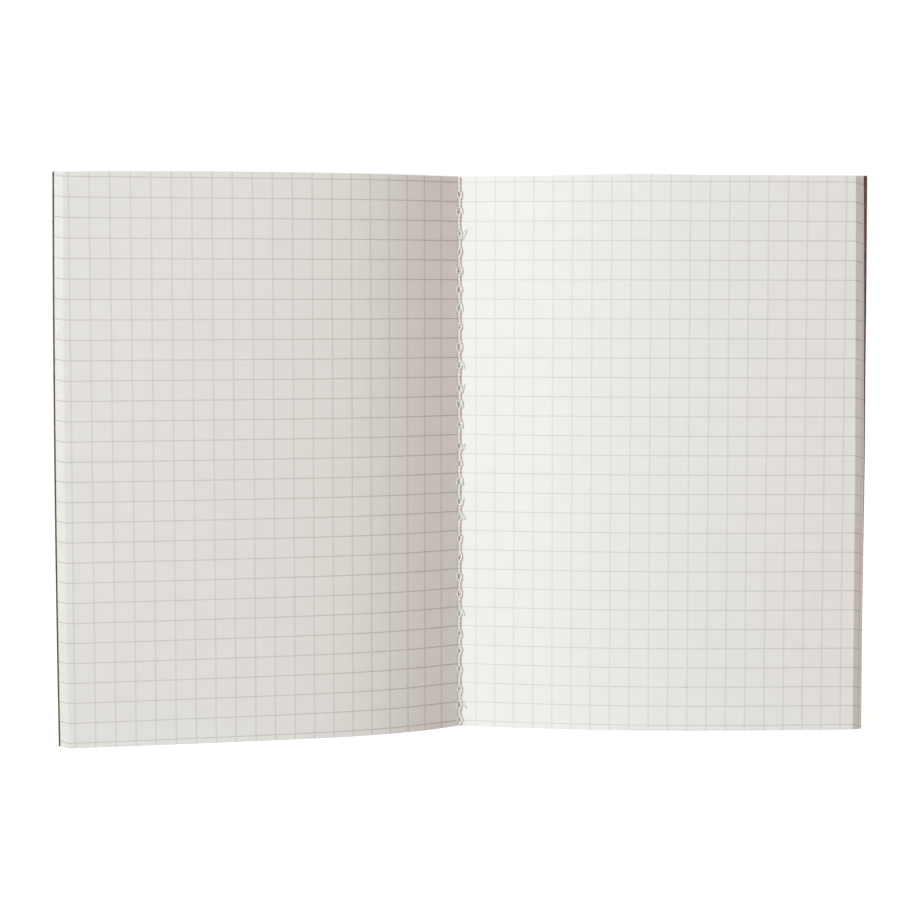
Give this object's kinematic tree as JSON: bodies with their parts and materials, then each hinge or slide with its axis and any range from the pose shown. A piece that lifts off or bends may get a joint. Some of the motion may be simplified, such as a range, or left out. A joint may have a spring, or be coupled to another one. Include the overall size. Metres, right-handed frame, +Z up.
{
  "type": "notebook",
  "caption": "Thin pocket notebook of square-ruled paper in a card cover, sewn through the fold and standing open at the middle; covers and every leaf turn.",
  "frame": {"origin": "middle of the bounding box at the bottom edge that the notebook stands on", "axes": "+Z up along the spine, pages facing -Y, back half at +X"},
  "size_m": [0.206, 0.0196, 0.1431],
  "materials": {
    "card": "matt dark red-brown card, uncoated",
    "paper": "matt off-white writing paper",
    "thread": "white twisted sewing thread"
  },
  "bodies": {
    "back_half": {"back_cover": "card", "needle_thread": "thread", "bobbin_thread": "thread", "sheet_fold_01": "paper", "sheet_fold_02": "paper", "sheet_fold_03": "paper", "sheet_fold_04": "paper", "sheet_fold_05": "paper", "sheet_fold_06": "paper", "sheet_fold_07": "paper", "sheet_fold_08": "paper", "sheet_fold_09": "paper", "sheet_fold_10": "paper", "sheet_fold_11": "paper", "sheet_fold_12": "paper"},
    "front_half": {"front_cover": "card"},
    "left_leaf_01": {"left_leaf_01": "paper"},
    "left_leaf_02": {"left_leaf_02": "paper"},
    "left_leaf_03": {"left_leaf_03": "paper"},
    "left_leaf_04": {"left_leaf_04": "paper"},
    "left_leaf_05": {"left_leaf_05": "paper"},
    "left_leaf_06": {"left_leaf_06": "paper"},
    "left_leaf_07": {"left_leaf_07": "paper"},
    "left_leaf_08": {"left_leaf_08": "paper"},
    "left_leaf_09": {"left_leaf_09": "paper"},
    "left_leaf_10": {"left_leaf_10": "paper"},
    "left_leaf_11": {"left_leaf_11": "paper"},
    "left_leaf_12": {"left_leaf_12": "paper"},
    "right_leaf_01": {"right_leaf_01": "paper"},
    "right_leaf_02": {"right_leaf_02": "paper"},
    "right_leaf_03": {"right_leaf_03": "paper"},
    "right_leaf_04": {"right_leaf_04": "paper"},
    "right_leaf_05": {"right_leaf_05": "paper"},
    "right_leaf_06": {"right_leaf_06": "paper"},
    "right_leaf_07": {"right_leaf_07": "paper"},
    "right_leaf_08": {"right_leaf_08": "paper"},
    "right_leaf_09": {"right_leaf_09": "paper"},
    "right_leaf_10": {"right_leaf_10": "paper"},
    "right_leaf_11": {"right_leaf_11": "paper"},
    "right_leaf_12": {"right_leaf_12": "paper"}
  },
  "joints": [
    {"name": "front_half_fold", "type": "hinge", "parent": "back_half", "child": "front_half", "pos_m": [-0.00021, 0.00749, 0], "axis": [0, 0, -1], "range_deg": [-132, 25]},
    {"name": "left_leaf_12_fan", "type": "hinge", "parent": "front_half", "child": "left_leaf_12", "pos_m": [-0.00021, 0.00749, 0], "axis": [0, 0, 1], "range_deg": [0, 1.1]},
    {"name": "left_leaf_11_fan", "type": "hinge", "parent": "front_half", "child": "left_leaf_11", "pos_m": [-0.00021, 0.00749, 0], "axis": [0, 0, 1], "range_deg": [0, 2.2]},
    {"name": "left_leaf_10_fan", "type": "hinge", "parent": "front_half", "child": "left_leaf_10", "pos_m": [-0.00021, 0.00749, 0], "axis": [0, 0, 1], "range_deg": [0, 3.3]},
    {"name": "left_leaf_09_fan", "type": "hinge", "parent": "front_half", "child": "left_leaf_09", "pos_m": [-0.00021, 0.00749, 0], "axis": [0, 0, 1], "range_deg": [0, 4.4]},
    {"name": "left_leaf_08_fan", "type": "hinge", "parent": "front_half", "child": "left_leaf_08", "pos_m": [-0.00021, 0.00749, 0], "axis": [0, 0, 1], "range_deg": [0, 5.5]},
    {"name": "left_leaf_07_fan", "type": "hinge", "parent": "front_half", "child": "left_leaf_07", "pos_m": [-0.00021, 0.00749, 0], "axis": [0, 0, 1], "range_deg": [0, 6.6]},
    {"name": "left_leaf_06_fan", "type": "hinge", "parent": "front_half", "child": "left_leaf_06", "pos_m": [-0.00021, 0.00749, 0], "axis": [0, 0, 1], "range_deg": [0, 7.7]},
    {"name": "left_leaf_05_fan", "type": "hinge", "parent": "front_half", "child": "left_leaf_05", "pos_m": [-0.00021, 0.00749, 0], "axis": [0, 0, 1], "range_deg": [0, 8.8]},
    {"name": "left_leaf_04_fan", "type": "hinge", "parent": "front_half", "child": "left_leaf_04", "pos_m": [-0.00021, 0.00749, 0], "axis": [0, 0, 1], "range_deg": [0, 9.9]},
    {"name": "left_leaf_03_fan", "type": "hinge", "parent": "front_half", "child": "left_leaf_03", "pos_m": [-0.00021, 0.00749, 0], "axis": [0, 0, 1], "range_deg": [0, 11]},
    {"name": "left_leaf_02_fan", "type": "hinge", "parent": "front_half", "child": "left_leaf_02", "pos_m": [-0.00021, 0.00749, 0], "axis": [0, 0, 1], "range_deg": [0, 12.1]},
    {"name": "left_page_turn", "type": "hinge", "parent": "left_leaf_02", "child": "left_leaf_01", "pos_m": [-0.00021, 0.00749, 0], "axis": [0, 0, 1], "range_deg": [0, 132]},
    {"name": "right_leaf_12_fan", "type": "hinge", "parent": "back_half", "child": "right_leaf_12", "pos_m": [-0.00021, 0.00749, 0], "axis": [0, 0, -1], "range_deg": [0, 1.1]},
    {"name": "right_leaf_11_fan", "type": "hinge", "parent": "back_half", "child": "right_leaf_11", "pos_m": [-0.00021, 0.00749, 0], "axis": [0, 0, -1], "range_deg": [0, 2.2]},
    {"name": "right_leaf_10_fan", "type": "hinge", "parent": "back_half", "child": "right_leaf_10", "pos_m": [-0.00021, 0.00749, 0], "axis": [0, 0, -1], "range_deg": [0, 3.3]},
    {"name": "right_leaf_09_fan", "type": "hinge", "parent": "back_half", "child": "right_leaf_09", "pos_m": [-0.00021, 0.00749, 0], "axis": [0, 0, -1], "range_deg": [0, 4.4]},
    {"name": "right_leaf_08_fan", "type": "hinge", "parent": "back_half", "child": "right_leaf_08", "pos_m": [-0.00021, 0.00749, 0], "axis": [0, 0, -1], "range_deg": [0, 5.5]},
    {"name": "right_leaf_07_fan", "type": "hinge", "parent": "back_half", "child": "right_leaf_07", "pos_m": [-0.00021, 0.00749, 0], "axis": [0, 0, -1], "range_deg": [0, 6.6]},
    {"name": "right_leaf_06_fan", "type": "hinge", "parent": "back_half", "child": "right_leaf_06", "pos_m": [-0.00021, 0.00749, 0], "axis": [0, 0, -1], "range_deg": [0, 7.7]},
    {"name": "right_leaf_05_fan", "type": "hinge", "parent": "back_half", "child": "right_leaf_05", "pos_m": [-0.00021, 0.00749, 0], "axis": [0, 0, -1], "range_deg": [0, 8.8]},
    {"name": "right_leaf_04_fan", "type": "hinge", "parent": "back_half", "child": "right_leaf_04", "pos_m": [-0.00021, 0.00749, 0], "axis": [0, 0, -1], "range_deg": [0, 9.9]},
    {"name": "right_leaf_03_fan", "type": "hinge", "parent": "back_half", "child": "right_leaf_03", "pos_m": [-0.00021, 0.00749, 0], "axis": [0, 0, -1], "range_deg": [0, 11]},
    {"name": "right_leaf_02_fan", "type": "hinge", "parent": "back_half", "child": "right_leaf_02", "pos_m": [-0.00021, 0.00749, 0], "axis": [0, 0, -1], "range_deg": [0, 12.1]},
    {"name": "right_page_turn", "type": "hinge", "parent": "right_leaf_02", "child": "right_leaf_01", "pos_m": [-0.00021, 0.00749, 0], "axis": [0, 0, -1], "range_deg": [0, 132]}
  ],
  "couplings": [
    {"joint": "left_leaf_12_fan", "follows": "left_leaf_02_fan", "ratio": 0.090909},
    {"joint": "left_leaf_11_fan", "follows": "left_leaf_02_fan", "ratio": 0.18182},
    {"joint": "left_leaf_10_fan", "follows": "left_leaf_02_fan", "ratio": 0.27273},
    {"joint": "left_leaf_09_fan", "follows": "left_leaf_02_fan", "ratio": 0.36364},
    {"joint": "left_leaf_08_fan", "follows": "left_leaf_02_fan", "ratio": 0.45455},
    {"joint": "left_leaf_07_fan", "follows": "left_leaf_02_fan", "ratio": 0.54545},
    {"joint": "left_leaf_06_fan", "follows": "left_leaf_02_fan", "ratio": 0.63636},
    {"joint": "left_leaf_05_fan", "follows": "left_leaf_02_fan", "ratio": 0.72727},
    {"joint": "left_leaf_04_fan", "follows": "left_leaf_02_fan", "ratio": 0.81818},
    {"joint": "left_leaf_03_fan", "follows": "left_leaf_02_fan", "ratio": 0.90909},
    {"joint": "right_leaf_12_fan", "follows": "right_leaf_02_fan", "ratio": 0.090909},
    {"joint": "right_leaf_11_fan", "follows": "right_leaf_02_fan", "ratio": 0.18182},
    {"joint": "right_leaf_10_fan", "follows": "right_leaf_02_fan", "ratio": 0.27273},
    {"joint": "right_leaf_09_fan", "follows": "right_leaf_02_fan", "ratio": 0.36364},
    {"joint": "right_leaf_08_fan", "follows": "right_leaf_02_fan", "ratio": 0.45455},
    {"joint": "right_leaf_07_fan", "follows": "right_leaf_02_fan", "ratio": 0.54545},
    {"joint": "right_leaf_06_fan", "follows": "right_leaf_02_fan", "ratio": 0.63636},
    {"joint": "right_leaf_05_fan", "follows": "right_leaf_02_fan", "ratio": 0.72727},
    {"joint": "right_leaf_04_fan", "follows": "right_leaf_02_fan", "ratio": 0.81818},
    {"joint": "right_leaf_03_fan", "follows": "right_leaf_02_fan", "ratio": 0.90909}
  ]
}
